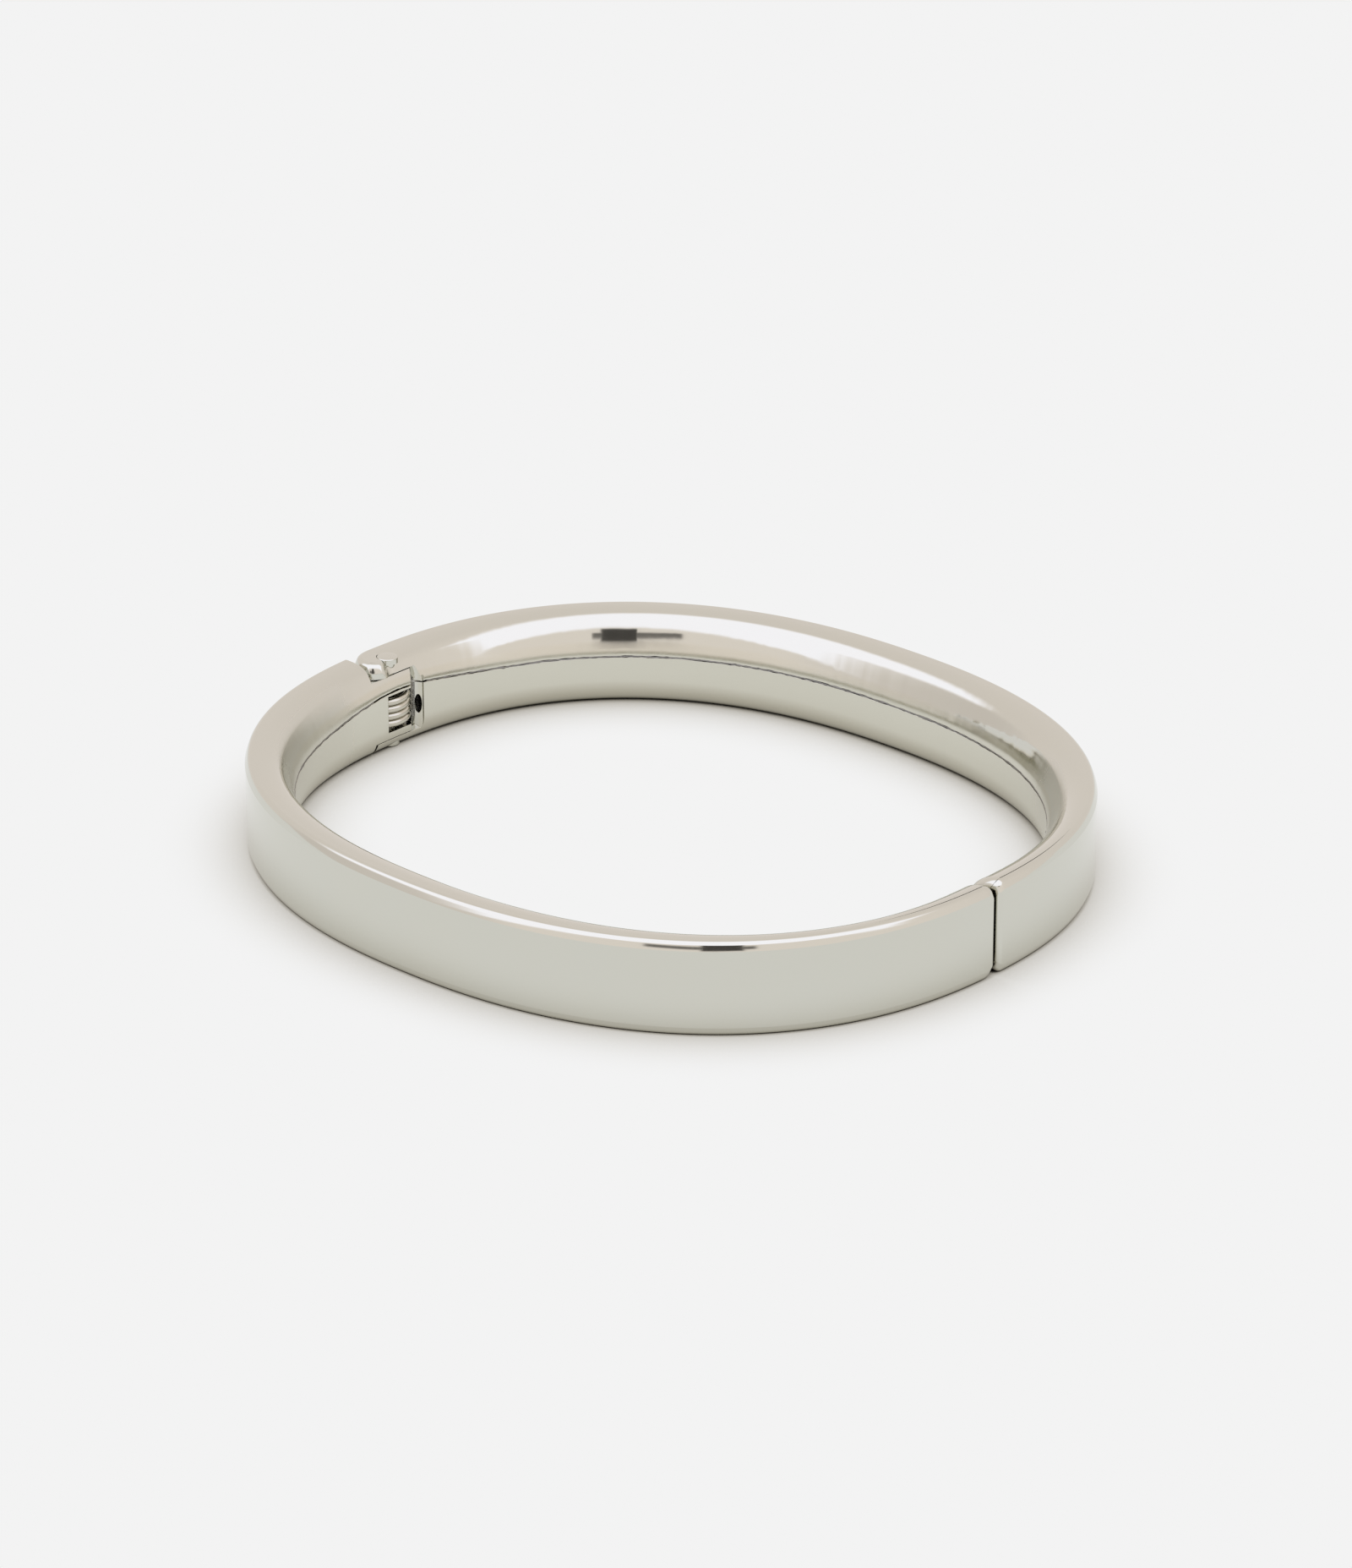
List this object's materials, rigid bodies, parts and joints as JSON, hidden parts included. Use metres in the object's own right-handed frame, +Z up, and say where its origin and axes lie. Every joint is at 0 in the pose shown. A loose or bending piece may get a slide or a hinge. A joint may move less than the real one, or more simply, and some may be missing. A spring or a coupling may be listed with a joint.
{
  "type": "hinged bangle bracelet",
  "caption": "Slim polished oval bangle in two hollow arms, joined by a riveted spring hinge and closing at a plain gap.",
  "frame": {"origin": "centre of the oval on the plane the bangle rests on", "axes": "+X along the long axis from the hinge to the mouth, +Y towards the swinging arm, +Z up through the wrist opening"},
  "size_m": [0.065, 0.058, 0.0075],
  "materials": {
    "polished_plate": "mirror-polished silver-tone plate with faint polishing haze",
    "satin_plate": "plated but unpolished metal inside the joints",
    "spring_steel": "drawn spring wire, bright"
  },
  "bodies": {
    "front_arm": {"front_upper_shell": "polished_plate", "front_lower_shell": "polished_plate", "front_mouth_plug": "satin_plate", "front_hinge_block": "satin_plate", "torsion_spring": "spring_steel"},
    "back_arm": {"back_upper_shell": "polished_plate", "back_lower_shell": "polished_plate", "back_mouth_plug": "satin_plate", "back_end_plate": "satin_plate", "hinge_pin": "polished_plate"}
  },
  "joints": [
    {"name": "hinge", "type": "hinge", "parent": "front_arm", "child": "back_arm", "pos_m": [-0.03005, 0, 0.0037], "axis": [0, 0, 1], "range_deg": [0, 52], "deforming": ["torsion_spring"]}
  ]
}
